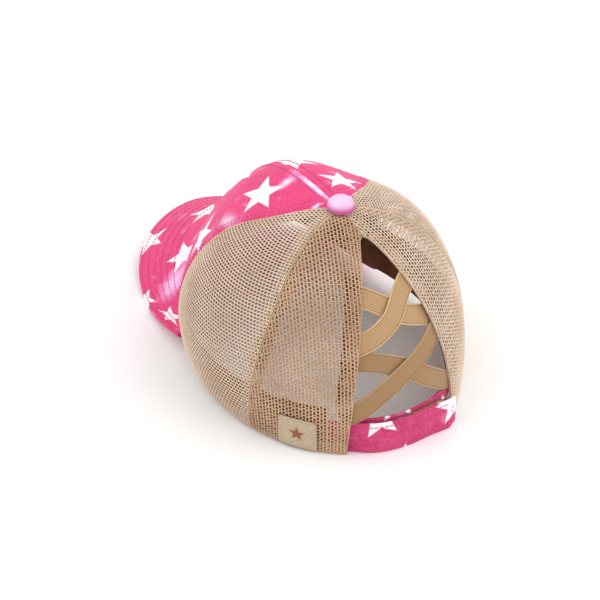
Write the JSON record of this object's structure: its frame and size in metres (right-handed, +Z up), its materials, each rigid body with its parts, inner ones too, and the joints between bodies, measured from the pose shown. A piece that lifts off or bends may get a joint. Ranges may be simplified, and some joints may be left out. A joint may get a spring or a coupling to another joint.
{
  "type": "ponytail baseball cap",
  "caption": "Baseball cap with printed front panels and visor, net sides and back, and an arched back opening crossed by elastic bands above a hook-and-loop strap.",
  "frame": {"origin": "under the middle of the whole cap, in the plane of the surface that it rests on", "axes": "+Z up, -Y towards the visor's tip, +Y towards the open back, +X towards the wearer's left"},
  "size_m": [0.163, 0.2536, 0.1225],
  "materials": {
    "printed_twill": "matt twill with a pink and lavender dye and a plain white star print",
    "beige_mesh": "open knitted net, beige",
    "elastic": "tan elastic, ribbed along its length",
    "tape": "tan tape and hook-and-loop strip",
    "button_cloth": "pink cloth over a button",
    "label_cloth": "plain beige cloth"
  },
  "bodies": {
    "root": {"back_mesh_left": "beige_mesh", "back_mesh_right": "beige_mesh", "back_strap_inner": "printed_twill", "back_strap_outer": "printed_twill", "elastic_lower_inner": "elastic", "elastic_lower_outer": "elastic", "elastic_upper_inner": "elastic", "elastic_upper_outer": "elastic", "front_panel_left": "printed_twill", "front_panel_right": "printed_twill", "label_patch": "label_cloth", "side_mesh_left": "beige_mesh", "side_mesh_right": "beige_mesh", "strap_fastener": "tape", "sweatband": "tape", "top_button": "button_cloth", "visor": "printed_twill"}
  },
  "joints": []
}
